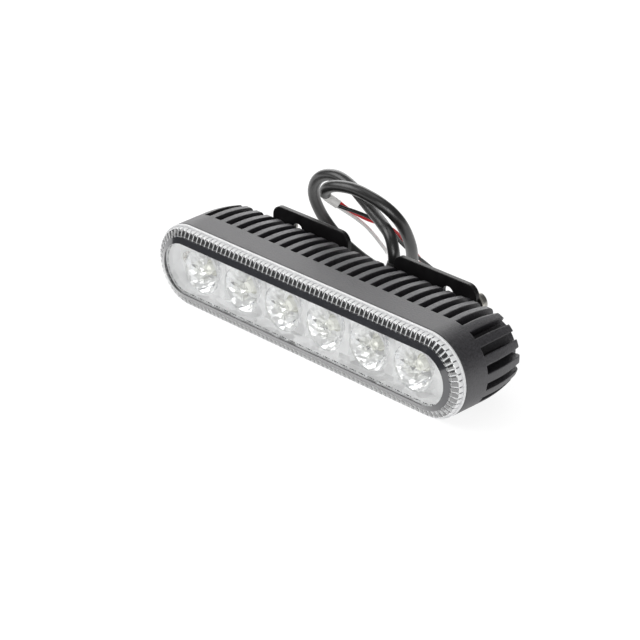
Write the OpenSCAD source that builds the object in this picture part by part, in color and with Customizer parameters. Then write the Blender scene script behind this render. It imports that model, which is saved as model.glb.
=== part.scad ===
// Warning light: a pill-shaped surface lamp with six LEDs, a finned die-cast
// housing, a clear fluted lens, a rear bracket and a coiled lead.
// Sizes are in millimetres. X runs along the lamp, Y from front to back, Z up.

/* [Lamp body] */
// Overall length of the lamp
lamp_len = 129.4; // [127:0.2:140]
// Overall height of the lamp
lamp_h = 28; // [27.4:0.1:30]
// Depth of the front shoulder ring before the slots begin
collar_end = 13.2; // [13.1:0.1:15]
// Depth at which the fins end at the back
fin_end = 29.9; // [29:0.1:31]
// Height gained along the shoulder ring by its casting draft
collar_draft = 0.2; // [0.1:0.05:0.4]
// Height lost by the fins toward the back
fin_fall = 1.4; // [0.8:0.1:2]

/* [Fins] */
// Distance from one straight cooling slot to the next
slot_pitch = 4.82; // [4.7:0.01:5]
// Number of straight slots to each side of the middle one
slots_per_side = 11; // [9:1:11]
// Width of a straight slot
slot_w = 2.65; // [1.8:0.05:2.9]
// Width of a slot on the rounded ends
end_slot_w = 2.6; // [2:0.1:3]
// Angle from one end slot to the next
end_slot_step = 22.8; // [21:0.1:23.5]
// Depth of the slots below the lamp's outer face
slot_depth = 5.2; // [3:0.1:5.4]

/* [Lens] */
// Distance from the lamp's outer face to the clear window
window_edge = 5.175; // [5.05:0.025:5.55]
// Thickness of the clear window
window_t = 1.8; // [1.4:0.1:1.9]
// Width of the black band round the window
band_w = 1.81; // [1.5:0.01:1.9]
// How far the black band slopes back
band_slope = 0.89; // [0.6:0.01:1.1]
// Thickness of the black band
band_t = 0.35; // [0.2:0.05:0.5]
// Distance from one flute to the next
flute_pitch = 1.84; // [1.7:0.01:2.4]
// Width of the thin groove between two flutes
flute_gap = 0.44; // [0.35:0.01:0.6]
// Width of the fluted ring
flute_ring_w = 2.7; // [2.5:0.05:2.75]

/* [Light engine] */
// Distance from the end of the lamp to the first LED
led_end = 19.7; // [19.2:0.1:21]
// Width of one square LED package
led_w = 3.5; // [3:0.1:3.8]
// Front diameter of one collimator optic
optic_d = 14.8; // [14:0.1:15]
// Thickness of the aluminium LED board
led_board_t = 1.6; // [1.2:0.1:1.7]
// Thickness of the heat pad behind the LED board
pad_t = 0.4; // [0.2:0.05:0.5]
// Thickness of the driver board
driver_board_t = 1.2; // [1:0.1:1.6]

/* [Bracket] */
// Thickness of the steel bracket
plate_t = 1.5; // [1.2:0.1:2]
// Overall width of the bracket
plate_w = 85.8; // [84:0.1:92]
// Width of the open notch between the two ears
notch_w = 19.5; // [18:0.1:22]
// Height of the ears above the middle of the lamp
ear_top = 14.8; // [14:0.1:17]
// Height of the notch floor above the middle of the lamp
notch_floor = 5; // [4:0.1:6]
// Depth of the bracket below the middle of the lamp
plate_low = 8; // [6:0.1:10]
// Radius of the bracket corners
plate_corner = 3.5; // [2.5:0.1:4]
// Diameter of the two mounting holes in the ears
ear_hole_d = 4.3; // [4:0.1:5.3]
// Distance between the two mounting holes
ear_hole_gap = 63.6; // [62:0.1:64]
// Height of the mounting holes above the middle of the lamp
ear_hole_z = 9.3; // [9:0.1:10]
// Distance between the two bracket screws
screw_gap = 80; // [79:0.1:80]
// Height of the bracket screws above the middle of the lamp
screw_z = 7.5; // [7:0.1:7.6]
// Thread diameter of the bracket screws
screw_d = 3; // [2.5:0.1:3]

/* [Lead] */
// Diameter of the black lead
lead_d = 3.8; // [3.4:0.1:4.2]
// Diameter of the sleeve inside the lead
sleeve_d = 2.9; // [2.6:0.1:3.1]
// Diameter of each thin wire
wire_d = 1.2; // [1:0.1:1.3]
// Diameter of the strain relief where it leaves the lamp
relief_d = 6.4; // [6:0.1:6.8]

/* [Show] */
// Which piece to show

/* [Hidden] */

// Fineness of curved faces
$fa = 7.5;
$fs = 0.5;

// Half height of the lamp, at the fins and at the front edge, and half
// length of its straight run
body_r = lamp_h / 2;
front_r = body_r - collar_draft;
run = (lamp_len - lamp_h) / 2;

// Depths from the lens front, from front to back
flange_y = 3.72;
flange_t = 0.6;
rim_y = flange_y + flange_t;
seat_y = 6.7;
seal_t = 0.5;
floor_y = 11.8;
pocket_y = 17;
ledge_y = 19.2;
land_y = fin_end + 2.4;
plate_y = land_y + plate_t;
relief_y = plate_y + 3.2;
washer_t = 0.8;
washer_d = 9;
head_h = 3;
head_d = 7;
bracket_screw_in = 8.6;
boss_d = 6;

// Radii of the nested pill outlines
window_r = front_r - window_edge;
band_r = window_r + band_w;
flute_r = band_r + flute_ring_w;
flute_root = flute_r - 0.38;
skirt_r = front_r - 1.5;
seat_r = skirt_r + 0.1;
cavity_r = front_r - 2.5;
slot_floor = body_r - slot_depth;
land_r = slot_floor - 0.4;
pocket_r = 5.2;
ledge_r = 4.2;
tray_r = cavity_r - 1.1;
board_r = cavity_r - 0.9;

// Number of LEDs in the row and the distance from one to the next
led_count = 6;
led_pitch = (lamp_len - 2 * led_end) / (led_count - 1);

// Light engine depths
pad_y = floor_y - pad_t;
board_y = pad_y - led_board_t;
led_y = board_y - 0.7;
facet_out = 6.4;
facet_w = 6.4;
tray_floor = board_y - 2;
tray_floor_t = 1;
tray_front = window_t + 0.4;
optic_front = window_t + 1;

// Board screws stand between the last LED and the end of the board
board_screw_out = 5.3;
board_screw_x = run + board_screw_out;
board_screw_d = 1.9;
board_head_d = 3.8;
board_head_h = 1.3;
board_screw_in = 3;
drive_l = 2.4;
drive_w = 0.5;
drive_deep = 0.6;

// Holes in the board and the heat pad
board_hole_d = 2.3;
pad_hole_d = 2.8;
pad_window_d = 6.4;

// Driver parts stand on the back of the driver board
pin_x = 1.6;
pin_d = 0.9;
driver_y = ledge_y + driver_board_t;
driver_room = 7.9;
potting_y = driver_y + driver_room;
coil_x = -22;
coil_flange_d = 8.4;
coil_core_d = 6.2;
coil_h = 4.6;
coil_flange_t = 0.9;
chip_x = -8;
chip_w = 5;
cap_d = 6.1;
cap_h = 5.6;
cap_base = 6.4;
cap_x = [20, 28];
inner_lead_gap = 1.7;

// Strain relief place
relief_x = 5.6;
relief_z = -1;
relief_top = 9.2;
relief_neck = relief_d - 0.8;
relief_lip = 1.8;
rib_z = 3.4;
rib_gap = 2.1;
rib_h = 1.1;

// Middle of the lamp's depth, lead left out
mid_y = (relief_y + relief_neck / 2 + 0.3) / 2;

// Colours
black = [0.06, 0.06, 0.065];
clear = [0.9, 0.93, 0.95, 0.4];
silver = [0.85, 0.86, 0.87];
steel = [0.62, 0.62, 0.6];
green = [0.08, 0.3, 0.16];

// Moves a piece from lens-front depths to the lamp's own frame
module placed() {
  translate([0, -mid_y, body_r])
    children();
}

// Pill outline of the given radius
module pill(r) {
  square([2 * run, 2 * r], center = true);
  translate([run, 0])
    circle(r);
  translate([-run, 0])
    circle(r);
}

// Flat pill-shaped plate between two depths
module pill_plate(r, front, back) {
  translate([0, back, 0])
    rotate([90, 0, 0])
      linear_extrude(height = back - front)
        pill(r);
}

// Pill-shaped ring between two depths
module pill_ring(outer, inner, front, back) {
  translate([0, back, 0])
    rotate([90, 0, 0])
      linear_extrude(height = back - front)
        difference() {
          pill(outer);
          pill(inner);
        }
}

// Carries a half profile (radius, depth) round the whole pill
module carry_round() {
  for (side = [0, 1])
    mirror([0, 0, side])
      translate([run, 0, 0])
        rotate([0, -90, 0])
          linear_extrude(height = 2 * run)
            children();
  for (side = [0, 1])
    mirror([side, 0, 0])
      translate([run, 0, 0])
        rotate([-90, 0, 0])
          rotate([0, 0, -90])
            rotate_extrude(angle = 180)
              children();
}

// Round bar along the depth
module rod_y(d, front, back) {
  translate([0, back, 0])
    rotate([90, 0, 0])
      cylinder(h = back - front, d = d);
}

// Housing

// Outer edge of the fins: a slow fall toward the back, then a round corner
fall_start = collar_end + 3.8;
fall_end = fin_end - 1.7;
function fin_curve() = [
  for (t = [0 : 0.2 : 1])
    [body_r - fin_fall * t * t, fall_start + (fall_end - fall_start) * t],
  for (a = [22.5 : 22.5 : 90])
    [body_r - fin_fall - 2 + 2 * cos(a), fall_end + (fin_end - fall_end) * sin(a)]
];

// Half profile of the casting before the slots are cut
module housing_profile() {
  polygon([
    [seat_r, rim_y],
    [front_r, rim_y],
    each fin_curve(),
    [land_r, fin_end],
    [land_r, land_y - 0.4],
    [land_r - 0.4, land_y],
    [pocket_r, land_y],
    [pocket_r, ledge_y],
    [ledge_r, ledge_y],
    [ledge_r, pocket_y],
    [0, pocket_y],
    [0, floor_y],
    [cavity_r, floor_y],
    [cavity_r, seat_y],
    [seat_r, seat_y]
  ]);
}

// One straight slot cutter standing above the slot floor
module slot_cutter(w) {
  translate([-w / 2, collar_end, slot_floor])
    cube([w, land_y, body_r]);
}

// The casting with its slots cut, before the screw holes
module finned_body() {
  difference() {
    carry_round()
      housing_profile();
    for (k = [-slots_per_side : slots_per_side])
      translate([k * slot_pitch, 0, 0]) {
        slot_cutter(slot_w);
        mirror([0, 0, 1])
          slot_cutter(slot_w);
      }
    for (side = [0, 1])
      mirror([side, 0, 0])
        for (k = [-2.5 : 1 : 2.5])
          translate([run, 0, 0])
            rotate([0, 90 + k * end_slot_step, 0])
              slot_cutter(end_slot_w);
  }
}

// Round bosses that fill the slots where the bracket screws go in
module screw_bosses() {
  difference() {
    for (x = [-screw_gap / 2, screw_gap / 2])
      translate([x, 0, screw_z])
        rod_y(boss_d, land_y - bracket_screw_in - 2.5, land_y);
    pill_plate(pocket_r, ledge_y - 1, land_y + 1);
  }
}

module housing() {
  color(black)
    placed()
      difference() {
        union() {
          finned_body();
          screw_bosses();
        }
        for (x = [-screw_gap / 2, screw_gap / 2])
          translate([x, 0, screw_z])
            rod_y(screw_d + 0.1, land_y - bracket_screw_in - 0.4, land_y + 1);
        for (x = [-board_screw_x, board_screw_x])
          translate([x, 0, 0])
            rod_y(board_screw_d + 0.1, floor_y - 1, floor_y + board_screw_in + 0.4);
        rod_y(6, floor_y - 1, pocket_y + 1);
      }
}

// Lens

// Half profile of the clear moulding without its flutes
module lens_profile() {
  polygon([
    [0, 0],
    [window_r, 0],
    [window_r, band_t],
    [band_r, band_slope + band_t],
    [band_r, band_slope + 0.55],
    [flute_root, band_slope + 0.55],
    [flute_root, flange_y],
    [front_r - 0.4, flange_y],
    [front_r - 0.4, flange_y - 0.3],
    [front_r, flange_y - 0.3],
    [front_r, rim_y],
    [skirt_r, rim_y],
    [skirt_r, seat_y - seal_t],
    [cavity_r, seat_y - seal_t],
    [cavity_r, window_t + 1],
    [cavity_r - 1.2, window_t],
    [0, window_t]
  ]);
}

// One flute standing outward from the lens, rounded at its front corner
module flute() {
  flute_w = flute_pitch - flute_gap;
  translate([-flute_w / 2, 0, 0])
    rotate([90, 0, 90])
      linear_extrude(height = flute_w)
        polygon([
          [band_slope + 0.9, band_r],
          [band_slope + 0.05, band_r],
          [band_slope, flute_r - 0.9],
          [band_slope + 0.2, flute_r - 0.35],
          [band_slope + 0.65, flute_r - 0.05],
          [band_slope + 1.2, flute_r],
          [flange_y + 0.2, flute_r],
          [flange_y + 0.2, flute_root - 0.6],
          [band_slope + 0.9, flute_root - 0.6]
        ]);
}

module outer_lens() {
  flutes_run = floor(2 * run / flute_pitch);
  run_step = 2 * run / flutes_run;
  flutes_end = round(3.14 * flute_r / flute_pitch * 0.93);
  color(clear)
    placed() {
      carry_round()
        lens_profile();
      for (k = [0 : flutes_run - 1])
        translate([-run + (k + 0.5) * run_step, 0, 0]) {
          flute();
          mirror([0, 0, 1])
            flute();
        }
      for (side = [0, 1])
        mirror([side, 0, 0])
          for (k = [0 : flutes_end - 1])
            translate([run, 0, 0])
              rotate([0, (k + 0.5) * 180 / flutes_end, 0])
                flute();
    }
}

module bezel_band() {
  color([0.03, 0.035, 0.05])
    placed()
      carry_round()
        polygon([
          [window_r, 0],
          [band_r, band_slope],
          [band_r, band_slope + band_t],
          [window_r, band_t]
        ]);
}

module lens_seal() {
  color([0.12, 0.12, 0.12])
    placed()
      pill_ring(skirt_r, cavity_r, seat_y - seal_t, seat_y);
}

// Reflector and optics

// Places children at the LED with the given number, counted from the left
module at_led(number) {
  translate([(number - (led_count + 1) / 2) * led_pitch, 0, 0])
    children();
}

// Low silver ridge between two optics, with a pyramid above and below
module facet_ridge() {
  translate([0, 0, -facet_out])
    linear_extrude(height = 2 * facet_out)
      polygon([
        [-1.9, tray_floor + 0.5],
        [0, optic_front + 2.4],
        [1.9, tray_floor + 0.5]
      ]);
  for (side = [0, 1])
    mirror([0, 0, side])
      translate([0, 0, facet_out])
        pyramid(facet_w, 4.4, tray_floor + 0.5, optic_front + 1);
}

// Four-sided pyramid whose base lies across the depth
module pyramid(w, h, base, tip) {
  intersection() {
    translate([0, 0, -h / 2])
      linear_extrude(height = h)
        polygon([[-w / 2, base], [0, tip], [w / 2, base]]);
    translate([-w / 2, 0, 0])
      rotate([90, 0, 90])
        linear_extrude(height = w)
          polygon([[base, -h / 2], [tip, 0], [base, h / 2]]);
  }
}

module reflector_tray() {
  color(silver)
    placed()
      difference() {
        union() {
          pill_ring(tray_r, tray_r - 0.8, tray_front, board_y);
          pill_plate(tray_r - 0.4, tray_floor, tray_floor + tray_floor_t);
          for (k = [1 : led_count - 1])
            translate([led_pitch / 2, 0, 0])
              at_led(k)
                facet_ridge();
        }
        for (k = [1 : led_count])
          at_led(k)
            rod_y(5.6, tray_floor - 1, tray_floor + tray_floor_t + 1);
        for (x = [-board_screw_x, board_screw_x])
          translate([x, 0, 0])
            rod_y(2.3, tray_floor - 1, tray_floor + tray_floor_t + 1);
      }
}

// Collimator: a clear cone with a well at its back for the LED
module optic(number) {
  color(clear)
    placed()
      at_led(number)
        rotate([-90, 0, 0])
          rotate_extrude()
            polygon([
              [0, optic_front],
              [optic_d / 2, optic_front],
              [optic_d / 2, optic_front + 0.7],
              [5.6, optic_front + 2.6],
              [4.2, tray_floor],
              [2.8, tray_floor],
              [2.8, tray_floor + 0.6],
              [2.1, tray_floor + 0.6],
              [1.8, optic_front + 2.8],
              [0, optic_front + 2.4]
            ]);
}

module optic_1() optic(1);
module optic_2() optic(2);
module optic_3() optic(3);
module optic_4() optic(4);
module optic_5() optic(5);
module optic_6() optic(6);

// LED package with its domed lens
module led(number) {
  color([0.95, 0.9, 0.6])
    placed()
      at_led(number) {
        translate([-led_w / 2, led_y, -led_w / 2])
          cube([led_w, board_y - led_y, led_w]);
        difference() {
          translate([0, led_y + 0.3, 0])
            sphere(d = led_w - 0.7);
          translate([-led_w, led_y + 0.1, -led_w])
            cube([2 * led_w, led_w, 2 * led_w]);
        }
      }
}

module led_1() led(1);
module led_2() led(2);
module led_3() led(3);
module led_4() led(4);
module led_5() led(5);
module led_6() led(6);

// Boards and electronics

module led_board() {
  color([0.9, 0.9, 0.88])
    placed()
      difference() {
        pill_plate(board_r, board_y, pad_y);
        for (x = [-board_screw_x, board_screw_x])
          translate([x, 0, 0])
            rod_y(board_hole_d, board_y - 1, pad_y + 1);
        for (x = [-pin_x, pin_x])
          translate([x, 0, 0])
            rod_y(pin_d + 0.1, board_y - 1, pad_y + 1);
      }
}

module heat_pad() {
  color([0.6, 0.62, 0.66])
    placed()
      difference() {
        pill_plate(board_r - 0.3, pad_y, floor_y);
        for (x = [-board_screw_x, board_screw_x])
          translate([x, 0, 0])
            rod_y(pad_hole_d, pad_y - 1, floor_y + 1);
        rod_y(pad_window_d, pad_y - 1, floor_y + 1);
      }
}

module board_screws() {
  color(steel)
    placed()
      for (x = [-board_screw_x, board_screw_x])
        translate([x, 0, 0])
          difference() {
            union() {
              rod_y(board_head_d, tray_floor - board_head_h, tray_floor);
              rod_y(board_screw_d, tray_floor - 0.5, floor_y + board_screw_in);
            }
            for (turn = [0, 90])
              rotate([0, turn, 0])
                translate([-drive_l / 2, tray_floor - board_head_h - 1, -drive_w / 2])
                  cube([drive_l, drive_deep + 1, drive_w]);
          }
}

module link_pins() {
  color([0.8, 0.68, 0.35])
    placed()
      for (x = [-pin_x, pin_x])
        translate([x, 0, 0])
          rod_y(pin_d, board_y - 0.5, driver_y + 0.6);
}

module driver_board() {
  color(green)
    placed()
      difference() {
        pill_plate(pocket_r - 0.15, ledge_y, driver_y);
        for (x = [-pin_x, pin_x])
          translate([x, 0, 0])
            rod_y(pin_d + 0.1, ledge_y - 1, driver_y + 1);
      }
}

module driver_coil() {
  color([0.2, 0.2, 0.22])
    placed()
      translate([coil_x, 0, 0]) {
        rod_y(coil_flange_d, driver_y, driver_y + coil_flange_t);
        rod_y(coil_core_d, driver_y, driver_y + coil_h);
        rod_y(coil_flange_d, driver_y + coil_h - coil_flange_t, driver_y + coil_h);
      }
}

module driver_chip() {
  color([0.08, 0.08, 0.09])
    placed() {
      translate([chip_x - chip_w / 2, driver_y + 0.15, -2])
        cube([chip_w, 1.5, 4]);
      for (k = [-1.5 : 1 : 1.5])
        translate([chip_x + k * 1.27 - 0.2, driver_y, -3])
          cube([0.4, 0.5, 6]);
    }
}

module driver_capacitors() {
  color([0.7, 0.7, 0.72])
    placed()
      for (x = cap_x)
        translate([x, 0, 0]) {
          translate([-cap_base / 2, driver_y, -cap_base / 2])
            cube([cap_base, 0.9, cap_base]);
          rod_y(cap_d, driver_y, driver_y + cap_h);
        }
}

module potting() {
  color([0.1, 0.1, 0.1])
    placed()
      difference() {
        pill_plate(pocket_r, potting_y, land_y - 0.2);
        translate([relief_x, 0, relief_z])
          rod_y(relief_d, potting_y - 1, land_y + 1);
      }
}

module inner_leads() {
  color([0.7, 0.1, 0.1])
    placed()
      for (k = [-1 : 1])
        translate([relief_x + k * inner_lead_gap, 0, relief_z])
          rod_y(wire_d, driver_y, potting_y);
}

// Strain relief

module strain_relief() {
  color([0.09, 0.09, 0.09])
    placed()
      translate([relief_x, 0, relief_z]) {
        rod_y(relief_d, potting_y, relief_y);
        translate([0, relief_y, 0])
          sphere(d = relief_neck + 0.6);
        translate([0, relief_y, 0])
          cylinder(h = relief_top - relief_z - relief_lip, d = relief_neck);
        for (k = [0 : 2])
          translate([0, relief_y, rib_z + k * rib_gap])
            cylinder(h = rib_h, d = relief_d - 0.2 - k * 0.4);
        translate([0, relief_y, relief_top - relief_z - relief_lip])
          cylinder(h = relief_lip, d1 = relief_neck - 0.4, d2 = lead_d + 0.6);
      }
}

// Bracket

// Flat outline with four rounded corners
module rounded_sheet(x0, x1, z0, z1, r) {
  translate([x0 + r, z0])
    square([x1 - x0 - 2 * r, z1 - z0]);
  translate([x0, z0 + r])
    square([x1 - x0, z1 - z0 - 2 * r]);
  for (x = [x0 + r, x1 - r])
    for (z = [z0 + r, z1 - r])
      translate([x, z])
        circle(r);
}

module bracket_outline() {
  half = plate_w / 2;
  for (side = [0, 1])
    mirror([side, 0])
      rounded_sheet(notch_w / 2, half, notch_floor - 8, ear_top, plate_corner);
  rounded_sheet(-half, half, -plate_low, notch_floor, plate_corner);
  for (side = [0, 1])
    mirror([side, 0])
      translate([half - 10, -2])
        square([10, 10]);
}

module bracket() {
  color(black)
    placed()
      translate([0, plate_y, 0])
        rotate([90, 0, 0])
          linear_extrude(height = plate_t)
            difference() {
              bracket_outline();
              for (x = [-ear_hole_gap / 2, ear_hole_gap / 2])
                translate([x, ear_hole_z])
                  circle(d = ear_hole_d);
              for (x = [-screw_gap / 2, screw_gap / 2])
                translate([x, screw_z])
                  circle(d = screw_d + 0.3);
              translate([relief_x, relief_z])
                circle(d = relief_d + 0.6);
            }
}

module bracket_washers() {
  color([0.8, 0.78, 0.72])
    placed()
      for (x = [-screw_gap / 2, screw_gap / 2])
        translate([x, 0, screw_z])
          difference() {
            rod_y(washer_d, plate_y, plate_y + washer_t);
            rod_y(screw_d + 0.3, plate_y - 1, plate_y + washer_t + 1);
          }
}

module bracket_screws() {
  head_y = plate_y + washer_t;
  color(steel)
    placed()
      for (x = [-screw_gap / 2, screw_gap / 2])
        translate([x, 0, screw_z])
          difference() {
            union() {
              rod_y(screw_d, land_y - bracket_screw_in, head_y + 0.5);
              rod_y(head_d, head_y, head_y + head_h * 0.6);
              rod_y(head_d - 1, head_y + 0.5, head_y + head_h);
            }
            translate([-2, head_y + head_h - 1.2, -0.4])
              cube([4, 2, 0.8]);
            translate([-0.4, head_y + head_h - 1.2, -2])
              cube([0.8, 2, 4]);
          }
}

// Lead and wires

// Route points are counted from the top of the strain relief
lead_route = [
  [5.6, 0, 0],
  [4.9, 0.3, 3.4],
  [2.4, 1.4, 7],
  [-2.4, 3.4, 8.6],
  [-8.1, 5.4, 10],
  [-14.9, 7.3, 12.2],
  [-20.6, 8.3, 14.4],
  [-26, 8.8, 15.6],
  [-30.6, 9, 15.2],
  [-35.1, 9.3, 13.2],
  [-38.6, 10, 9.6],
  [-40.8, 11.6, 4.5],
  [-40.6, 13.7, -1.2],
  [-38.8, 16, -6.6],
  [-35.8, 18.4, -11.6],
  [-31.6, 20.8, -15.8],
  [-26.6, 22.8, -19],
  [-21.2, 24, -20.6],
  [-16, 24.2, -20.9],
  [-11, 22.6, -19.2],
  [-6.1, 20, -15],
  [-2.4, 17, -9.8],
  [0.3, 13.9, -3.8],
  [1.8, 10.8, 2.2],
  [1.6, 7.8, 8.2],
  [-0.3, 5.6, 12.3],
  [-3.6, 3.9, 15.1],
  [-7.9, 2.6, 16.9],
  [-12.9, 1.6, 17.9],
  [-17.8, 1, 17.6],
  [-22, 0.8, 16.4],
  [-25, 1.2, 14.4],
  [-26.6, 2.4, 12]
];
sleeve_route = [
  [-26.6, 2.4, 12],
  [-26.8, 3.4, 10.6],
  [-26.1, 4.6, 9.4],
  [-24.3, 6, 7.8]
];
red_route = [
  [-24.3, 6.6, 8.3],
  [-22.9, 8.2, 6.4],
  [-21.4, 10.8, 4.2],
  [-19, 14, 1.8],
  [-17, 17, 0.2],
  [-15, 20, -1.8],
  [-14.1, 23, -4.7],
  [-13.8, 26, -8.2],
  [-14.2, 30, -12.4],
  [-15, 34, -16.8],
  [-16.6, 38, -20.8]
];
black_route = [
  [-23.8, 5.4, 7.8],
  [-22, 7, 6.9],
  [-20, 8.8, 6],
  [-17.4, 12.4, 3.8],
  [-14.9, 15.4, 1.4],
  [-13.2, 18.4, -1.6],
  [-13.3, 23.8, -7.8],
  [-13.1, 28.8, -12.9],
  [-12.8, 34.6, -18.2],
  [-13.2, 38.4, -21.6]
];
white_route = [
  [-24.8, 6, 7.2],
  [-23.6, 8, 5.4],
  [-21.8, 11, 2.6],
  [-20.8, 15, -1.4],
  [-21, 19, -5.8],
  [-22, 23, -10.2],
  [-24.2, 28, -15.2],
  [-28.8, 33.6, -19.6],
  [-34, 39, -22]
];

// The same direction with length one
function unit(v) = v / norm(v);

// Direction of the route at point i
function heading(route, i) =
  unit(route[min(i + 1, len(route) - 1)] - route[max(i - 1, 0)]);

// One ring of points across the route
function ring(route, i, r, sides, lean, start) =
  let (
    t = i == 0 ? start : heading(route, i),
    u = unit(cross(t, lean)),
    v = cross(t, u)
  )
  [for (k = [0 : sides - 1])
    route[i] + r * (u * cos(360 * k / sides) + v * sin(360 * k / sides))];

// Round tube along a route
module tube(route, d, sides, lean, start) {
  n = len(route);
  points = [for (i = [0 : n - 1]) each ring(route, i, d / 2, sides, lean, start)];
  walls = [for (i = [0 : n - 2], k = [0 : sides - 1])
    [i * sides + k, i * sides + (k + 1) % sides,
     (i + 1) * sides + (k + 1) % sides, (i + 1) * sides + k]];
  first = [[for (k = [sides - 1 : -1 : 0]) k]];
  last = [[for (k = [0 : sides - 1]) (n - 1) * sides + k]];
  polyhedron(points, concat(first, walls, last));
}

// Starts a lead piece at the top of the strain relief
module from_relief() {
  placed()
    translate([0, relief_y, relief_top])
      children();
}

coil_lean = [0, 0.9, 0.42];
wire_lean = [1, 0.1, 0.1];

module lead_sheath() {
  color([0.05, 0.05, 0.05])
    from_relief()
      tube(lead_route, lead_d, 10, coil_lean, [0, 0, 1]);
}

module inner_sleeve() {
  color([0.88, 0.87, 0.85])
    from_relief()
      tube(sleeve_route, sleeve_d, 8, wire_lean, heading(lead_route, len(lead_route) - 1));
}

module wire_red() {
  color([0.75, 0.05, 0.06])
    from_relief()
      tube(red_route, wire_d, 8, wire_lean, heading(sleeve_route, len(sleeve_route) - 1));
}

module wire_black() {
  color([0.05, 0.05, 0.05])
    from_relief()
      tube(black_route, wire_d, 8, wire_lean, heading(sleeve_route, len(sleeve_route) - 1));
}

module wire_white() {
  color([0.85, 0.85, 0.84])
    from_relief()
      tube(white_route, wire_d, 8, wire_lean, heading(sleeve_route, len(sleeve_route) - 1));
}

housing();
outer_lens();
bezel_band();
lens_seal();
reflector_tray();
optic_1();
optic_2();
optic_3();
optic_4();
optic_5();
optic_6();
led_1();
led_2();
led_3();
led_4();
led_5();
led_6();
led_board();
heat_pad();
board_screws();
link_pins();
driver_board();
driver_coil();
driver_chip();
driver_capacitors();
potting();
inner_leads();
strain_relief();
bracket();
bracket_washers();
bracket_screws();
lead_sheath();
inner_sleeve();
wire_red();
wire_black();
wire_white();
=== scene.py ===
"""Looks of a pill-shaped warning light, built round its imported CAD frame."""

import math

import bmesh
import bpy
from mathutils import Matrix, Vector


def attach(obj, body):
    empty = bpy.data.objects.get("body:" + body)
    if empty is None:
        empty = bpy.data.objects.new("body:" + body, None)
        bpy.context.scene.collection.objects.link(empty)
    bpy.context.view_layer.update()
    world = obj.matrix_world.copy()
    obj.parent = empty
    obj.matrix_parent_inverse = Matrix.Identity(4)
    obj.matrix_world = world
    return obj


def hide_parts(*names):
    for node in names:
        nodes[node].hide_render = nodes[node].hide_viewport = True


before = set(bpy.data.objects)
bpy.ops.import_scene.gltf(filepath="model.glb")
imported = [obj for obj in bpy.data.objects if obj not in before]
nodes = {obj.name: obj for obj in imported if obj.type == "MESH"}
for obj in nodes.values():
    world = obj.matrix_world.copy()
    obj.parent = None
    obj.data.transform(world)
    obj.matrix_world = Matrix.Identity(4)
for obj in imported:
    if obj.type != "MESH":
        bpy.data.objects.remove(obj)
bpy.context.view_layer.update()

# Metres in a millimetre
MM = 0.001

# Sizes in millimetres, as part.scad has them

# Depth of the frame's origin behind the lens front
MID_Y = 20.05
BODY_R = 14.0
FRONT_R = 13.8
# Half length of the straight run
RUN = 50.7
WINDOW_R = 8.625
WINDOW_T = 1.8
BAND_R = WINDOW_R + 1.81
BAND_SLOPE = 0.89
BAND_T = 0.35
FLUTE_R = BAND_R + 2.7
# Flutes along one straight run and round one end
FLUTES_RUN = 55
FLUTES_END = 21
FLANGE_Y = 3.72
RIM_Y = 4.32
SKIRT_R = 12.3
SKIRT_END = 6.2
LED_COUNT = 6
LED_PITCH = 18
TRAY_FLOOR = 7.8
OPTIC_R = 7.4
OPTIC_FRONT = WINDOW_T + 1
# Where the cords' routes count from: the lamp's middle, at the depth and height of the relief's top
RELIEF = (0.0, 37.0, 9.2)


def at(x, depth, height):
    """A point along the lamp, back from the lens front and above the lamp's middle, in mm."""
    return Vector((x * MM, (depth - MID_Y) * MM, (height + BODY_R) * MM))


# Shader tools


def node_material(name):
    made = bpy.data.materials.new(name)
    made.use_nodes = True
    return made, made.node_tree, made.node_tree.nodes["Principled BSDF"]


def where_on(tree, stretch=(1, 1, 1)):
    """Places on the piece in its own frame, stretched."""
    where = tree.nodes.new("ShaderNodeTexCoord")
    fit = tree.nodes.new("ShaderNodeMapping")
    fit.inputs["Scale"].default_value = stretch
    tree.links.new(where.outputs["Object"], fit.inputs["Vector"])
    return fit.outputs["Vector"]


def noise(tree, scale, detail=2.0, rough=0.5):
    """Noise over the piece, scale in cells per metre."""
    tex = tree.nodes.new("ShaderNodeTexNoise")
    tex.inputs["Scale"].default_value = scale
    tex.inputs["Detail"].default_value = detail
    tex.inputs["Roughness"].default_value = rough
    tree.links.new(where_on(tree), tex.inputs["Vector"])
    return tex.outputs["Fac"]


def ramp(tree, value, low, high, start=0.3, end=0.7):
    """Colour that goes from low to high as value goes from start to end."""
    made = tree.nodes.new("ShaderNodeValToRGB")
    for point, place, colour in zip(made.color_ramp.elements, (start, end), (low, high)):
        point.position = place
        point.color = (*colour, 1)
    tree.links.new(value, made.inputs["Fac"])
    return made.outputs["Color"]


def spread(tree, value, low, high, start=0.3, end=0.7):
    """Number that goes from low to high as value goes from start to end."""
    made = tree.nodes.new("ShaderNodeMapRange")
    for key, number in (("From Min", start), ("From Max", end), ("To Min", low), ("To Max", high)):
        made.inputs[key].default_value = number
    tree.links.new(value, made.inputs["Value"])
    return made.outputs["Result"]


def bump(tree, shader, height, strength, distance):
    made = tree.nodes.new("ShaderNodeBump")
    made.inputs["Strength"].default_value = strength
    made.inputs["Distance"].default_value = distance
    tree.links.new(height, made.inputs["Height"])
    tree.links.new(made.outputs["Normal"], shader.inputs["Normal"])
    return made


def vector_step(tree, operation, first):
    """One step of vector arithmetic on the socket first."""
    made = tree.nodes.new("ShaderNodeVectorMath")
    made.operation = operation
    tree.links.new(first, made.inputs[0])
    return made


def seen_by(tree, *kinds):
    """1 for rays of the given kinds and 0 for the rest."""
    path = tree.nodes.new("ShaderNodeLightPath")
    total = path.outputs[kinds[0]]
    for key in kinds[1:]:
        add = tree.nodes.new("ShaderNodeMath")
        add.operation = "MAXIMUM"
        tree.links.new(total, add.inputs[0])
        tree.links.new(path.outputs[key], add.inputs[1])
        total = add.outputs[0]
    return total


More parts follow.
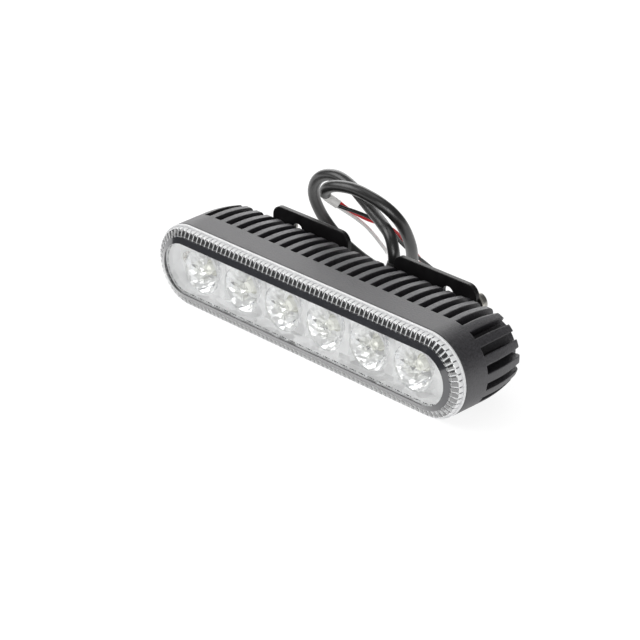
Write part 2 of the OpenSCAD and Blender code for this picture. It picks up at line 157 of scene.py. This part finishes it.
def see_through(tree, tint):
    skin = tree.nodes.new("ShaderNodeBsdfTransparent")
    skin.inputs["Color"].default_value = (*tint, 1)
    return skin.outputs["BSDF"]


def mixed(tree, share, first, second):
    """Mix of two shaders, share being the socket that says how much of the second."""
    made = tree.nodes.new("ShaderNodeMixShader")
    tree.links.new(share, made.inputs[0])
    tree.links.new(first, made.inputs[1])
    tree.links.new(second, made.inputs[2])
    return made.outputs["Shader"]


def show(tree, surface):
    tree.links.new(surface, tree.nodes["Material Output"].inputs["Surface"])


def let_light_in(tree, surface, tint):
    """Shows the surface, but lets shadow and diffuse rays pass it, as clear plastic would."""
    passing = seen_by(tree, "Is Shadow Ray", "Is Diffuse Ray")
    show(tree, mixed(tree, passing, surface, see_through(tree, tint)))


# Kinds of material

PLASTIC_IOR = 1.49
EDGE_SAMPLES = 6


def finish_of(
    name,
    low,
    high,
    rough=(0.4, 0.5),
    metal=0.0,
    grain=900.0,
    relief=0.15,
    depth=0.00003,
    ior=None,
    mottle=0.13,
    edge=0.0,
    **sockets,
):
    """A material whose colour and gloss wander between two values, with a fine grain.

    grain is in cells per metre, and mottle is the colour's cells as a share of it. relief and
    depth are the grain's bump. edge is the radius in metres to which edges look softened.
    """
    made, tree, shader = node_material(name)
    wander = noise(tree, grain * mottle, 3.0, 0.55)
    fine = noise(tree, grain, 2.0, 0.6)
    tree.links.new(ramp(tree, wander, low, high), shader.inputs["Base Color"])
    tree.links.new(spread(tree, fine, *rough), shader.inputs["Roughness"])
    grainy = bump(tree, shader, fine, relief, depth)
    if edge:
        soft = tree.nodes.new("ShaderNodeBevel")
        soft.samples = EDGE_SAMPLES
        soft.inputs["Radius"].default_value = edge
        tree.links.new(soft.outputs["Normal"], grainy.inputs["Normal"])
    shader.inputs["Metallic"].default_value = metal
    if ior:
        shader.inputs["IOR"].default_value = ior
    for key, value in sockets.items():
        shader.inputs[key.replace("_", " ")].default_value = value
    return made


def facets(made, scale, tilt, stretch=(1, 1, 1)):
    """Flat facets in place of the grain, each leaning its own way, scale in cells per metre."""
    tree = made.node_tree
    cells = tree.nodes.new("ShaderNodeTexVoronoi")
    cells.inputs["Scale"].default_value = scale
    tree.links.new(where_on(tree, stretch), cells.inputs["Vector"])
    centred = vector_step(tree, "SUBTRACT", cells.outputs["Color"])
    centred.inputs[1].default_value = (0.5, 0.5, 0.5)
    lean = vector_step(tree, "SCALE", centred.outputs["Vector"])
    lean.inputs["Scale"].default_value = tilt
    upright = tree.nodes.new("ShaderNodeNewGeometry")
    leaning = vector_step(tree, "ADD", upright.outputs["Normal"])
    tree.links.new(lean.outputs["Vector"], leaning.inputs[1])
    unit = vector_step(tree, "NORMALIZE", leaning.outputs["Vector"])
    tree.links.new(unit.outputs["Vector"], tree.nodes["Principled BSDF"].inputs["Normal"])


def clear_plastic(name, tint, rough, coat_ior):
    """Clear moulding that bends light as glass does, under a glossy coat."""
    made, tree, shader = node_material(name)
    wander = noise(tree, 400)
    lighter = [min(1, c * 1.01) for c in tint]
    tree.links.new(ramp(tree, wander, tint, lighter), shader.inputs["Base Color"])
    tree.links.new(spread(tree, wander, rough * 0.8, rough * 1.2), shader.inputs["Roughness"])
    shader.inputs["IOR"].default_value = PLASTIC_IOR
    shader.inputs["Transmission Weight"].default_value = 1.0
    shader.inputs["Coat Weight"].default_value = 1.0
    shader.inputs["Coat IOR"].default_value = coat_ior
    let_light_in(tree, shader.outputs["BSDF"], tint)
    return made


def clear_skin(name, tint, rough, least, most=0.9, steepness=5.0):
    """Clear moulding that doesn't bend light, glossier from least to most as a face turns edge on."""
    made, tree, _ = node_material(name)
    gloss = tree.nodes.new("ShaderNodeBsdfGlossy")
    gloss.inputs["Roughness"].default_value = rough
    facing = tree.nodes.new("ShaderNodeLayerWeight")
    facing.inputs["Blend"].default_value = 0.5
    steep = tree.nodes.new("ShaderNodeMath")
    steep.operation = "POWER"
    steep.inputs[1].default_value = steepness
    tree.links.new(facing.outputs["Facing"], steep.inputs[0])
    glossy = spread(tree, steep.outputs[0], least, most, 0.0, 1.0)
    film = mixed(tree, glossy, see_through(tree, tint), gloss.outputs["BSDF"])
    let_light_in(tree, film, tint)
    return made


def painted_sheen_moulding(name, low, high, through, backing=None):
    """Clear moulding painted white, as painted sheen for the light its many small faces scatter, with a dark
    back where backing is given.
    """
    made, tree, shader = node_material(name)
    wander = noise(tree, 900)
    tree.links.new(ramp(tree, wander, low, high), shader.inputs["Base Color"])
    tree.links.new(spread(tree, wander, 0.18, 0.3), shader.inputs["Roughness"])
    bump(tree, shader, wander, 0.1, 0.00003)
    glow = tree.nodes.new("ShaderNodeBsdfTranslucent")
    glow.inputs["Color"].default_value = (*high, 1)
    both = tree.nodes.new("ShaderNodeMixShader")
    both.inputs[0].default_value = through
    tree.links.new(shader.outputs["BSDF"], both.inputs[1])
    tree.links.new(glow.outputs["BSDF"], both.inputs[2])
    surface = both.outputs["Shader"]
    if backing:
        dark = tree.nodes.new("ShaderNodeBsdfDiffuse")
        dark.inputs["Color"].default_value = (*backing, 1)
        side = tree.nodes.new("ShaderNodeNewGeometry")
        surface = mixed(tree, side.outputs["Backfacing"], surface, dark.outputs["BSDF"])
    show(tree, surface)
    return made


# Materials. Some gloss is stronger than the real one, as the floor mirrors no brighter than white.

POWDER = finish_of(
    "powder_coat", (0.003, 0.0028, 0.004), (0.046, 0.0435, 0.052), (0.42, 0.54),
    grain=1900, relief=0.8, depth=0.00016, ior=1.82, mottle=1.0, edge=0.0006,
)
BRACKET_COAT = finish_of(
    "bracket_coat", (0.006, 0.0055, 0.006), (0.01, 0.0095, 0.01), (0.3, 0.4),
    grain=2200, relief=0.2, ior=1.38, edge=0.0004,
)
BAND = finish_of(
    "band_gloss", (0.006, 0.007, 0.011), (0.01, 0.011, 0.017), (0.1, 0.16),
    grain=500, relief=0.02, ior=1.9, Coat_Weight=1.0, Coat_IOR=1.6, Coat_Roughness=0.06,
)
SILVER = finish_of(
    "tray_silver", (0.97, 0.972, 0.975), (0.99, 0.99, 0.99), (0.14, 0.24), metal=0.1, grain=700,
)
facets(SILVER, 260, 0.9)
RUBBER = finish_of(
    "relief_rubber", (0.02, 0.02, 0.02), (0.045, 0.045, 0.045), (0.36, 0.46),
    grain=1800, relief=0.2, ior=1.7,
)
SEAL = finish_of(
    "seal_rubber", (0.02, 0.02, 0.02), (0.035, 0.035, 0.035), (0.6, 0.75), grain=1500,
)
JACKET = finish_of(
    "lead_jacket", (0.007, 0.007, 0.007), (0.013, 0.0128, 0.0128), (0.28, 0.36),
    grain=1300, relief=0.1, ior=1.76,
)
SLEEVE = finish_of(
    "sleeve_pale", (0.8, 0.79, 0.77), (0.92, 0.915, 0.9), (0.35, 0.5), grain=1500, relief=0.25,
)
RED = finish_of(
    "wire_red", (0.66, 0.012, 0.018), (0.82, 0.03, 0.035), (0.3, 0.4), grain=1600, relief=0.1,
)
BLACK = finish_of(
    "wire_black", (0.01, 0.01, 0.01), (0.02, 0.02, 0.02), (0.3, 0.4), grain=1600, relief=0.1,
)
WHITE = finish_of(
    "wire_white", (0.86, 0.86, 0.85), (0.95, 0.95, 0.94), (0.3, 0.4), grain=1600, relief=0.1,
)
STEEL = finish_of(
    "screw_steel", (0.3, 0.29, 0.27), (0.5, 0.49, 0.46), (0.28, 0.42),
    metal=1.0, grain=1400, relief=0.2,
)
NICKEL = finish_of(
    "screw_nickel", (0.82, 0.81, 0.78), (0.92, 0.91, 0.88), (0.2, 0.3),
    metal=0.7, grain=1400, relief=0.1,
)
ZINC = finish_of(
    "washer_zinc", (0.62, 0.6, 0.54), (0.78, 0.76, 0.7), (0.25, 0.4), metal=1.0, grain=1400,
)
PHOSPHOR = finish_of(
    "led_phosphor", (0.88, 0.84, 0.5), (0.96, 0.94, 0.7), (0.15, 0.25), grain=2500, relief=0.1,
)
MASK_WHITE = finish_of(
    "board_white", (0.78, 0.78, 0.76), (0.86, 0.86, 0.84), (0.35, 0.45), grain=1200, relief=0.1,
)
PAD = finish_of("heat_pad_grey", (0.34, 0.36, 0.39), (0.44, 0.46, 0.5), (0.6, 0.7), grain=1500)
BOARD_GREEN = finish_of("board_green", (0.015, 0.09, 0.04), (0.03, 0.14, 0.06), (0.3, 0.4), grain=1200)
BRASS = finish_of(
    "pin_brass", (0.7, 0.5, 0.2), (0.85, 0.65, 0.3), (0.25, 0.35), metal=1.0, grain=1500,
)
FERRITE = finish_of(
    "coil_ferrite", (0.03, 0.03, 0.035), (0.07, 0.07, 0.075), (0.5, 0.65), grain=2000, relief=0.4,
)
MOULDED = finish_of(
    "chip_moulded", (0.012, 0.012, 0.013), (0.025, 0.025, 0.027), (0.5, 0.6),
    grain=2500, relief=0.3,
)
CAN = finish_of(
    "can_aluminium", (0.6, 0.6, 0.62), (0.8, 0.8, 0.82), (0.25, 0.35), metal=1.0, grain=1500,
)
RESIN = finish_of(
    "potting_resin", (0.01, 0.01, 0.01), (0.02, 0.02, 0.02), (0.15, 0.35),
    grain=350, relief=0.2, depth=0.0002,
)
LEAD_RED = finish_of("inner_lead_red", (0.5, 0.01, 0.015), (0.65, 0.02, 0.03), (0.35, 0.45), grain=1500)

# Materials of the lens
WINDOW = clear_skin("window_clear", (0.994, 0.996, 0.996), 0.03, least=0.06)
RIM = clear_plastic("rim_clear", (0.98, 0.985, 0.99), 0.03, coat_ior=3.0)
# Dark of the band's seat and the dashes, and painted shade in the joint line's gap
BACKING_AND_GAP_SHADE = finish_of("lens_backing_and_gap_shade", (0.012, 0.013, 0.018), (0.02, 0.022, 0.028), (0.3, 0.4))
# The lens's flanks, flange and skirt are clear, and are painted white: painted sheen for the light they
# catch.
SHEEN_PAINT = painted_sheen_moulding("rim_painted_sheen", (0.92, 0.925, 0.93), (0.98, 0.98, 0.985), 0.18)
# Inner wall of the window, painted white the same way as painted sheen, with a dark back.
WALL = painted_sheen_moulding(
    "window_wall", (0.88, 0.89, 0.9), (0.96, 0.96, 0.97), 0.03, backing=(0.01, 0.011, 0.014),
)

# Materials of the optics. The cup and its well are mirrors to the eye, and light passes them.
OPTIC = clear_skin("optic_clear", (0.99, 0.992, 0.99), 0.05, least=0.015, steepness=3.0)
PETAL = clear_skin("optic_petal", (0.985, 0.99, 0.96), 0.04, least=0.03, steepness=1.5)
CUP = finish_of(
    "optic_cup", (0.93, 0.935, 0.94), (0.98, 0.98, 0.98), (0.1, 0.18), metal=0.45, grain=600,
)
WELL = finish_of(
    "optic_well", (0.9, 0.9, 0.82), (0.97, 0.97, 0.92), (0.12, 0.2), metal=0.3, grain=600,
)
for made, lean, tint in ((CUP, 0.55, (0.97, 0.97, 0.97)), (WELL, 0.7, (0.97, 0.97, 0.95))):
    facets(made, 620, lean, (1, 0.45, 1))
    let_light_in(made.node_tree, made.node_tree.nodes["Principled BSDF"].outputs["BSDF"], tint)
MIRROR = finish_of(
    "optic_mirror", (0.8, 0.81, 0.83), (0.88, 0.885, 0.9), (0.05, 0.1),
    metal=1.0, grain=600, relief=0.02,
)

# Camera, light and ground

SHOT_AZIMUTH = math.radians(45.43)
SHOT_ELEVATION = math.radians(27.01)
SHOT_ROLL = math.radians(-0.22)
SHOT_DISTANCE = 673.2
SHOT_LENS = 126.22
SHOT_SHIFT = (0.0378, 0.00195)

# Strengths as light on the lamp, then as the eye and its mirrors see them
GROUND_GLOW = (0.68, 0.86)
BACKDROP_GLOW = (0.3, 0.9)
# The world's strength as light on the lamp, then in mirrors. Seen straight or through glass it is white.
WORLD_GLOW = (0.35, 0.16)

GROUND_HALF = 3.0
# Keeps the floor off the faces that lie on it
GROUND_DROP = 0.00002


def add_camera():
    ca, sa = math.cos(SHOT_AZIMUTH), math.sin(SHOT_AZIMUTH)
    ce, se = math.cos(SHOT_ELEVATION), math.sin(SHOT_ELEVATION)
    right = Vector((ca, sa, 0))
    up = Vector((-sa * se, ca * se, ce))
    ahead = Vector((-sa * ce, ca * ce, -se))
    c, s = math.cos(SHOT_ROLL), math.sin(SHOT_ROLL)
    right, up = c * right + s * up, c * up - s * right
    data = bpy.data.cameras.new("camera")
    data.sensor_width = 36
    data.lens = SHOT_LENS
    data.shift_x, data.shift_y = SHOT_SHIFT
    data.clip_start = 0.05
    data.clip_end = 20
    camera = bpy.data.objects.new("camera", data)
    place = at(0, 0, 0) - ahead * SHOT_DISTANCE * MM
    turn = Matrix((right, up, -ahead)).transposed().to_4x4()
    camera.matrix_world = Matrix.Translation(place) @ turn
    bpy.context.scene.collection.objects.link(camera)
    bpy.context.scene.camera = camera


def studio_white(name, cells, low, high, glow):
    """A pale material with a glow, whose colour wanders between two greys."""
    made, tree, shader = node_material(name)
    shade = ramp(tree, noise(tree, cells), (low, low, low), (high, high, high))
    tree.links.new(shade, shader.inputs["Base Color"])
    light = tree.nodes.new("ShaderNodeEmission")
    eye = seen_by(tree, "Is Camera Ray", "Is Glossy Ray", "Is Transmission Ray")
    tree.links.new(spread(tree, eye, *glow, 0.0, 1.0), light.inputs["Strength"])
    both = tree.nodes.new("ShaderNodeAddShader")
    tree.links.new(shader.outputs["BSDF"], both.inputs[0])
    tree.links.new(light.outputs["Emission"], both.inputs[1])
    show(tree, both.outputs["Shader"])
    return made, shader


def sheet(name, corners, material):
    data = bpy.data.meshes.new(name)
    data.from_pydata(corners, [], [(0, 1, 2, 3)])
    data.materials.append(material)
    made = bpy.data.objects.new(name, data)
    bpy.context.scene.collection.objects.link(made)
    return made


def add_ground():
    made, shader = studio_white("ground_white", 6, 0.24, 0.26, GROUND_GLOW)
    shader.inputs["Roughness"].default_value = 0.9
    shader.inputs["Specular IOR Level"].default_value = 0.1
    half = GROUND_HALF
    corners = [(-half, -half, 0), (half, -half, 0), (half, half, 0), (-half, half, 0)]
    ground = sheet("ground", corners, made)
    ground.location.z = -GROUND_DROP


def add_backdrop():
    """A white card far behind the lamp, for the edges of the lead and the bracket to reflect."""
    made, _ = studio_white("backdrop_white", 2, 0.28, 0.3, BACKDROP_GLOW)
    left, right, high = Vector((-2.7, 0.4, 0)), Vector((-0.4, 2.7, 0)), Vector((0, 0, 1.3))
    backdrop = sheet("backdrop", [left, right, right + high, left + high], made)


def add_world():
    world = bpy.data.worlds.new("studio")
    world.use_nodes = True
    tree = world.node_tree
    back = tree.nodes["Background"]
    back.inputs["Color"].default_value = (1, 1, 1, 1)
    eye = seen_by(tree, "Is Camera Ray", "Is Transmission Ray")
    shine = spread(tree, seen_by(tree, "Is Glossy Ray"), *WORLD_GLOW, 0.0, 1.0)
    most = tree.nodes.new("ShaderNodeMath")
    most.operation = "MAXIMUM"
    tree.links.new(shine, most.inputs[0])
    tree.links.new(eye, most.inputs[1])
    tree.links.new(most.outputs[0], back.inputs["Strength"])
    bpy.context.scene.world = world


def add_lamp(name, place, aim, size, power):
    """An oblong lamp at place, with sizes in metres and power in watts."""
    data = bpy.data.lights.new(name, "AREA")
    data.shape = "RECTANGLE"
    data.size, data.size_y = size
    data.energy = power
    lamp = bpy.data.objects.new(name, data)
    lamp.location = place
    lamp.rotation_mode = "QUATERNION"
    lamp.rotation_quaternion = (Vector(aim) - Vector(place)).to_track_quat("-Z", "Y")
    bpy.context.scene.collection.objects.link(lamp)


bpy.context.scene.view_settings.view_transform = "Standard"
add_camera()
add_ground()
add_backdrop()
add_world()
add_lamp("soft_back", place=(-0.75, 0.75, 0.55), aim=(0, 0, 0), size=(1.0, 0.9), power=5.1)
add_lamp("soft_top", place=(0.0, 0.0, 1.1), aim=(0, 0, 0), size=(0.8, 0.8), power=1.8)
add_lamp("soft_front", place=(-0.68, -0.68, 0.78), aim=(0, 0, 0), size=(0.85, 0.85), power=6.2)
add_lamp("soft_fill", place=(0.85, -0.95, 0.3), aim=(0, 0, 0.01), size=(0.9, 0.5), power=5.3)

# Lead and wires

# Routes of part.scad, counted from the top of the strain relief
LEAD_ROUTE = [
    (5.6, 0, 0), (4.9, 0.3, 3.4), (2.4, 1.4, 7), (-2.4, 3.4, 8.6), (-8.1, 5.4, 10),
    (-14.9, 7.3, 12.2), (-20.6, 8.3, 14.4), (-26, 8.8, 15.6), (-30.6, 9, 15.2), (-35.1, 9.3, 13.2),
    (-38.6, 10, 9.6), (-40.8, 11.6, 4.5), (-40.6, 13.7, -1.2), (-38.8, 16, -6.6), (-35.8, 18.4, -11.6),
    (-31.6, 20.8, -15.8), (-26.6, 22.8, -19), (-21.2, 24, -20.6), (-16, 24.2, -20.9), (-11, 22.6, -19.2),
    (-6.1, 20, -15), (-2.4, 17, -9.8), (0.3, 13.9, -3.8), (1.8, 10.8, 2.2), (1.6, 7.8, 8.2),
    (-0.3, 5.6, 12.3), (-3.6, 3.9, 15.1), (-7.9, 2.6, 16.9), (-12.9, 1.6, 17.9), (-17.8, 1, 17.6),
    (-22, 0.8, 16.4), (-25, 1.2, 14.4), (-26.6, 2.4, 12),
]
SLEEVE_ROUTE = [(-26.6, 2.4, 12), (-26.8, 3.4, 10.6), (-26.1, 4.6, 9.4), (-24.3, 6, 7.8)]
RED_ROUTE = [
    (-24.3, 6.6, 8.3), (-22.9, 8.2, 6.4), (-21.4, 10.8, 4.2), (-19, 14, 1.8), (-17, 17, 0.2),
    (-15, 20, -1.8), (-14.1, 23, -4.7), (-13.8, 26, -8.2), (-14.2, 30, -12.4), (-15, 34, -16.8),
    (-16.6, 38, -20.8),
]
BLACK_ROUTE = [
    (-23.8, 5.4, 7.8), (-22, 7, 6.9), (-20, 8.8, 6), (-17.4, 12.4, 3.8), (-14.9, 15.4, 1.4),
    (-13.2, 18.4, -1.6), (-13.3, 23.8, -7.8), (-13.1, 28.8, -12.9), (-12.8, 34.6, -18.2),
    (-13.2, 38.4, -21.6),
]
WHITE_ROUTE = [
    (-24.8, 6, 7.2), (-23.6, 8, 5.4), (-21.8, 11, 2.6), (-20.8, 15, -1.4), (-21, 19, -5.8),
    (-22, 23, -10.2), (-24.2, 28, -15.2), (-28.8, 33.6, -19.6), (-34, 39, -22),
]

# A knot's handles, as a share of the way to the next knot
HANDLE_SHARE = 0.36
# Straight steps from one knot to the next when a cord's length is added up
LENGTH_STEPS = 16


def routed(points):
    """Route points as points in the frame."""
    return [at(*(a + b for a, b in zip(p, RELIEF))) for p in points]


def bezier_length(spline):
    total = 0.0
    for a, b in zip(spline.bezier_points, spline.bezier_points[1:]):
        last = a.co.copy()
        for k in range(1, LENGTH_STEPS + 1):
            t = k / LENGTH_STEPS
            s = 1 - t
            here = s**3 * a.co + 3 * s * s * t * a.handle_right + 3 * s * t * t * b.handle_left + t**3 * b.co
            total += (here - last).length
            last = here
    return total


def cord_piece(name, route, diameter, material, stands_for):
    """A round cord on one smooth curve through the route, and its length."""
    points = routed(route)
    curve = bpy.data.curves.new(name, "CURVE")
    curve.dimensions = "3D"
    curve.bevel_depth = diameter / 2 * MM
    curve.bevel_resolution = 8
    curve.resolution_u = 10
    curve.use_fill_caps = True
    spline = curve.splines.new("BEZIER")
    spline.bezier_points.add(len(points) - 1)
    for i, (knot, p) in enumerate(zip(spline.bezier_points, points)):
        before, after = points[max(i - 1, 0)], points[min(i + 1, len(points) - 1)]
        along = (after - before).normalized()
        knot.co = p
        knot.handle_left_type = knot.handle_right_type = "FREE"
        knot.handle_left = p - along * (p - before).length * HANDLE_SHARE
        knot.handle_right = p + along * (after - p).length * HANDLE_SHARE
    curve.materials.append(material)
    piece = bpy.data.objects.new(name, curve)
    bpy.context.scene.collection.objects.link(piece)
    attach(piece, "root")
    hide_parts(stands_for)
    return piece, bezier_length(spline)


lead, lead_long = cord_piece("lead", LEAD_ROUTE, 3.8, JACKET, "lead_sheath")
sleeve, _ = cord_piece("lead_sleeve", SLEEVE_ROUTE, 2.9, SLEEVE, "inner_sleeve")
red, red_long = cord_piece("red_wire", RED_ROUTE, 1.2, RED, "wire_red")
black, black_long = cord_piece("black_wire", BLACK_ROUTE, 1.2, BLACK, "wire_black")
white, white_long = cord_piece("white_wire", WHITE_ROUTE, 1.2, WHITE, "wire_white")

# Mesh tools

# Points closer than this, in metres, become one
SAME_POINT = 2e-7


def mesh_piece(name, build, materials, stands_for, smooth=True):
    """Makes a mesh object from build(bm), rides it on the lamp and dresses it."""
    bm = bmesh.new()
    build(bm)
    bmesh.ops.remove_doubles(bm, verts=bm.verts, dist=SAME_POINT)
    bmesh.ops.recalc_face_normals(bm, faces=bm.faces)
    data = bpy.data.meshes.new(name)
    bm.to_mesh(data)
    bm.free()
    for material in materials:
        data.materials.append(material)
    piece = bpy.data.objects.new(name, data)
    bpy.context.scene.collection.objects.link(piece)
    if smooth:
        data.shade_smooth()
    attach(piece, "root")
    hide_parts(*stands_for)
    return piece


def join_rings(bm, rings, material_of):
    """Faces between each ring of points and the next, all the way round."""
    for i, ring in enumerate(rings):
        after = rings[(i + 1) % len(rings)]
        for k in range(len(ring) - 1):
            face = bm.faces.new((ring[k], ring[k + 1], after[k + 1], after[k]))
            face.material_index = material_of(k, i)


# Lens

# Places across one flute where its flat front begins and ends
FLAT_FROM = 0.2
FLAT_TO = 0.8

# Places across one flute and how far it has dropped toward the groove there
FLUTE_STEPS = [
    (0.0, 1.0), (0.08, 1.0), (0.1, 0.6), (0.12, 0.25), (0.15, 0.06), (FLAT_FROM, 0.0),
    (0.5, 0.0), (FLAT_TO, 0.0), (0.85, 0.06), (0.88, 0.25), (0.9, 0.6), (0.92, 1.0),
]

# Depth of a groove at the flutes' outer line, 0.02 less than in part.scad
GROOVE = 0.36
# Clear lip under the band's inner edge
LIP_W = 0.3
# Joint line in front of the casting, a small step whose strips are painted dark as painted shade of the gap
JOINT_DEEP = 0.15
# Inner wall, 0.95 further in than in part.scad, which closes the gap round the tray
WALL_R = 10.35
# Dashed line on the window's back
DASH_R = 8.62
DASH_W = 0.32
SHARP_ANGLE = math.radians(32)

LENS_MATERIALS = [WINDOW, RIM, BACKING_AND_GAP_SHADE, SHEEN_PAINT, WALL]
CLEAR, RIDGE, DARK, SHEEN_PAINTED, INNER = range(len(LENS_MATERIALS))
# Strips whose material changes along the pill
DASHES = 5
SHOULDER = 6


def pill_stations():
    """Stations round the pill, one set of flute steps a flute, as (centre x, normal x, normal z, drop)."""
    made = []
    for i in range(FLUTES_RUN):
        for place, drop in FLUTE_STEPS:
            made.append((RUN * (2 * (i + place) / FLUTES_RUN - 1), 0.0, 1.0, drop))
    for i in range(FLUTES_END):
        for place, drop in FLUTE_STEPS:
            angle = math.pi * (0.5 - (i + place) / FLUTES_END)
            made.append((RUN, math.cos(angle), math.sin(angle), drop))
    return made + [(-x, -nx, -nz, drop) for x, nx, nz, drop in made]


def lens_section(drop):
    """Half section of the lens as (radius, depth, kind of the strip that follows).

    drop is 0 on a flute and 1 in a groove.
    """
    lip_y = BAND_T + LIP_W * BAND_SLOPE / (BAND_R - WINDOW_R)
    return [
        # Front of the window and seat of the black band
        (0, 0, CLEAR),
        (WINDOW_R - 0.05, 0, CLEAR),
        (WINDOW_R, 0.05, SHEEN_PAINTED),
        (WINDOW_R, BAND_T, SHEEN_PAINTED),
        (WINDOW_R + LIP_W, lip_y, DARK),
        # Fluted ring, from its front over its shoulder to its outer side
        (BAND_R, BAND_SLOPE + BAND_T, RIDGE),
        (BAND_R, BAND_SLOPE + 0.02 + 0.5 * drop, RIDGE),
        (BAND_R + 0.3, BAND_SLOPE + 0.14 + 0.5 * drop, RIDGE),
        (FLUTE_R - 0.7, BAND_SLOPE + 0.94 + 0.45 * drop, RIDGE),
        (FLUTE_R - 0.35 - 0.06 * drop, BAND_SLOPE + 1.16 + 0.4 * drop, SHOULDER),
        (FLUTE_R - 0.08 - 0.24 * drop, BAND_SLOPE + 1.5 + 0.2 * drop, SHOULDER),
        (FLUTE_R - GROOVE * drop, BAND_SLOPE + 1.95, SHOULDER),
        # Flange
        (FLUTE_R - GROOVE * drop, FLANGE_Y, SHEEN_PAINTED),
        (FRONT_R - 0.4, FLANGE_Y, SHEEN_PAINTED),
        (FRONT_R - 0.36, FLANGE_Y - 0.26, SHEEN_PAINTED),
        (FRONT_R - 0.28, FLANGE_Y - 0.3, SHEEN_PAINTED),
        (FRONT_R - 0.1, FLANGE_Y - 0.3, SHEEN_PAINTED),
        (FRONT_R, FLANGE_Y - 0.2, SHEEN_PAINTED),
        # Joint line: a small step, painted dark as painted shade of the gap
        (FRONT_R, RIM_Y - 0.24, DARK),
        (FRONT_R - JOINT_DEEP, RIM_Y - 0.22, DARK),
        (FRONT_R - JOINT_DEEP, RIM_Y - 0.03, DARK),
        # Skirt inside the casting, inner wall and back of the window
        (SKIRT_R, RIM_Y - 0.03, SHEEN_PAINTED),
        (SKIRT_R, SKIRT_END, SHEEN_PAINTED),
        (WALL_R, SKIRT_END, INNER),
        (WALL_R, WINDOW_T + 0.6, INNER),
        (WALL_R - 0.7, WINDOW_T, CLEAR),
        (DASH_R + DASH_W, WINDOW_T, DASHES),
        (DASH_R, WINDOW_T, CLEAR),
        (0, WINDOW_T, None),
    ]


def lens_material(kind, station):
    """Material of a strip: grooves have a front painted white as painted sheen and a clear shoulder, flutes
    the other way round.
    """
    place, drop = FLUTE_STEPS[station % len(FLUTE_STEPS)]
    next_drop = FLUTE_STEPS[(station + 1) % len(FLUTE_STEPS)][1]
    in_groove = min(drop, next_drop) > 0.5
    if kind == RIDGE and in_groove:
        return SHEEN_PAINTED
    if kind == SHOULDER:
        return RIDGE if in_groove else SHEEN_PAINTED
    if kind == DASHES:
        # Dashes lie on the flats of every other flute, and between the flats of the rest
        on_flat = FLAT_FROM <= place < FLAT_TO
        even_flute = station // len(FLUTE_STEPS) % 2 == 0
        return DARK if on_flat != even_flute else CLEAR
    return kind


def sweep_lens(bm):
    """Carries the lens's half section round the pill."""
    rings = []
    for x, nx, nz, drop in pill_stations():
        rings.append([bm.verts.new(at(x + nx * r, d, nz * r)) for r, d, _ in lens_section(drop)])
    kinds = [kind for _, _, kind in lens_section(0)]
    join_rings(bm, rings, lambda strip, station: lens_material(kinds[strip], station))


lens = mesh_piece("lens_clear", sweep_lens, LENS_MATERIALS, stands_for=["outer_lens"])
lens.data.set_sharp_from_angle(angle=SHARP_ANGLE)

# Optics

OPTIC_SIDES = 24
PETALS_ROUND = 4
FACET_STEP = 0.16

OPTIC_MATERIALS = [OPTIC, PETAL, CUP, WELL, MIRROR]
PLAIN, PETALLED, CUPPED, WELLED, MIRRORED = range(len(OPTIC_MATERIALS))


def optic_section(side):
    """Half section of one optic as (radius, depth, material of the strip that follows).

    It is the cup of part.scad, with petals in its front and facets round its wall.
    """
    petal = 0.5 + 0.5 * math.cos(PETALS_ROUND * 2 * math.pi * side / OPTIC_SIDES)
    facet = FACET_STEP if side % 2 else -FACET_STEP
    return [
        (0.0, OPTIC_FRONT + 0.5, PETALLED),
        (1.0, OPTIC_FRONT + 0.2 + 0.6 * (1 - petal), PETALLED),
        (2.4, OPTIC_FRONT + 0.15 + 0.7 * petal, PETALLED),
        (3.5, OPTIC_FRONT, PLAIN),
        (OPTIC_R, OPTIC_FRONT, CUPPED),
        (OPTIC_R, OPTIC_FRONT + 0.7, CUPPED),
        (6.55 + facet, OPTIC_FRONT + 1.6, CUPPED),
        (5.6 - facet, OPTIC_FRONT + 2.6, CUPPED),
        (4.9 + facet, OPTIC_FRONT + 3.8, CUPPED),
        (4.2, TRAY_FLOOR, PLAIN),
        (2.8, TRAY_FLOOR, WELLED),
        (2.8, TRAY_FLOOR + 0.6, WELLED),
        (2.1, TRAY_FLOOR + 0.6, WELLED),
        (1.8, OPTIC_FRONT + 2.8, WELLED),
        (0.0, OPTIC_FRONT + 2.4, None),
    ]


def turn_optic(bm, centre):
    """Carries the optic's half section round its own axis."""
    rings = []
    for side in range(OPTIC_SIDES):
        angle = 2 * math.pi * side / OPTIC_SIDES
        ca, sa = math.cos(angle), math.sin(angle)
        section = optic_section(side)
        rings.append([bm.verts.new(at(centre + r * ca, d, r * sa)) for r, d, _ in section])
    slots = [slot for _, _, slot in optic_section(0)]

    def optic_material(strip, side):
        """One facet of the cup in six is mirrored, scattered over its strips and sides."""
        mirrored = slots[strip] == CUPPED and (side * 7 + strip * 5) % 6 == 0
        return MIRRORED if mirrored else slots[strip]

    join_rings(bm, rings, optic_material)


for number in range(1, LED_COUNT + 1):
    mesh_piece(
        f"optic_clear_{number}",
        lambda bm: turn_optic(bm, (number - (LED_COUNT + 1) / 2) * LED_PITCH),
        OPTIC_MATERIALS,
        stands_for=[f"optic_{number}"],
        smooth=False,
    )

# Carried-over nodes


def dress(name, material):
    """Gives a CAD node its material."""
    data = nodes[name].data
    data.materials.clear()
    data.materials.append(material)


for name, material in {
    "housing": POWDER,
    "bezel_band": BAND,
    "lens_seal": SEAL,
    "reflector_tray": SILVER,
    "led_board": MASK_WHITE,
    "heat_pad": PAD,
    "board_screws": NICKEL,
    "link_pins": BRASS,
    "driver_board": BOARD_GREEN,
    "driver_coil": FERRITE,
    "driver_chip": MOULDED,
    "driver_capacitors": CAN,
    "potting": RESIN,
    "inner_leads": LEAD_RED,
    "strain_relief": RUBBER,
    "bracket": BRACKET_COAT,
    "bracket_washers": ZINC,
    "bracket_screws": STEEL,
}.items():
    dress(name, material)
for number in range(1, LED_COUNT + 1):
    dress(f"led_{number}", PHOSPHOR)
